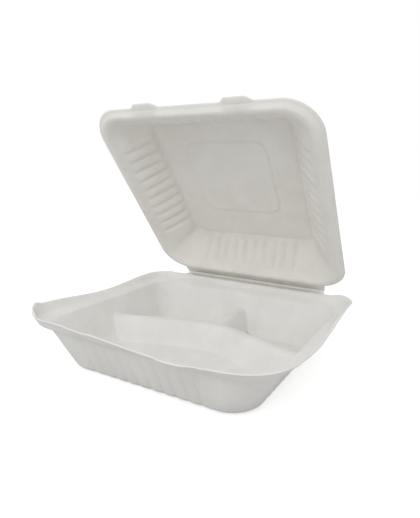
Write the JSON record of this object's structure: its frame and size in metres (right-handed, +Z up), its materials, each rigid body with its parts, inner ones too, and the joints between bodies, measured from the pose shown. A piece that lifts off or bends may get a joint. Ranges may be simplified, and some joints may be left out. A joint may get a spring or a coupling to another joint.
{
  "type": "food clamshell container",
  "caption": "Square moulded-pulp clamshell container with a hinged lid, front tabs and a divided tray with one long and two short compartments.",
  "frame": {"origin": "on the tray's flat underside, under the middle of its rim from side to side", "axes": "+X runs along the lid's crease to the right seen from the front, +Y towards the crease, +Z up"},
  "size_m": [0.229, 0.2142, 0.2136],
  "materials": {
    "tray_pulp": "matt moulded pulp",
    "lid_pulp": "matt moulded pulp"
  },
  "bodies": {
    "tray": {"base_tray": "tray_pulp"},
    "cover": {"lid": "lid_pulp"}
  },
  "joints": [
    {"name": "lid_hinge", "type": "hinge", "parent": "tray", "child": "cover", "pos_m": [0, 0.1085, 0.0445], "axis": [-1, 0, 0], "range_deg": [-50.2, 128.2]}
  ]
}
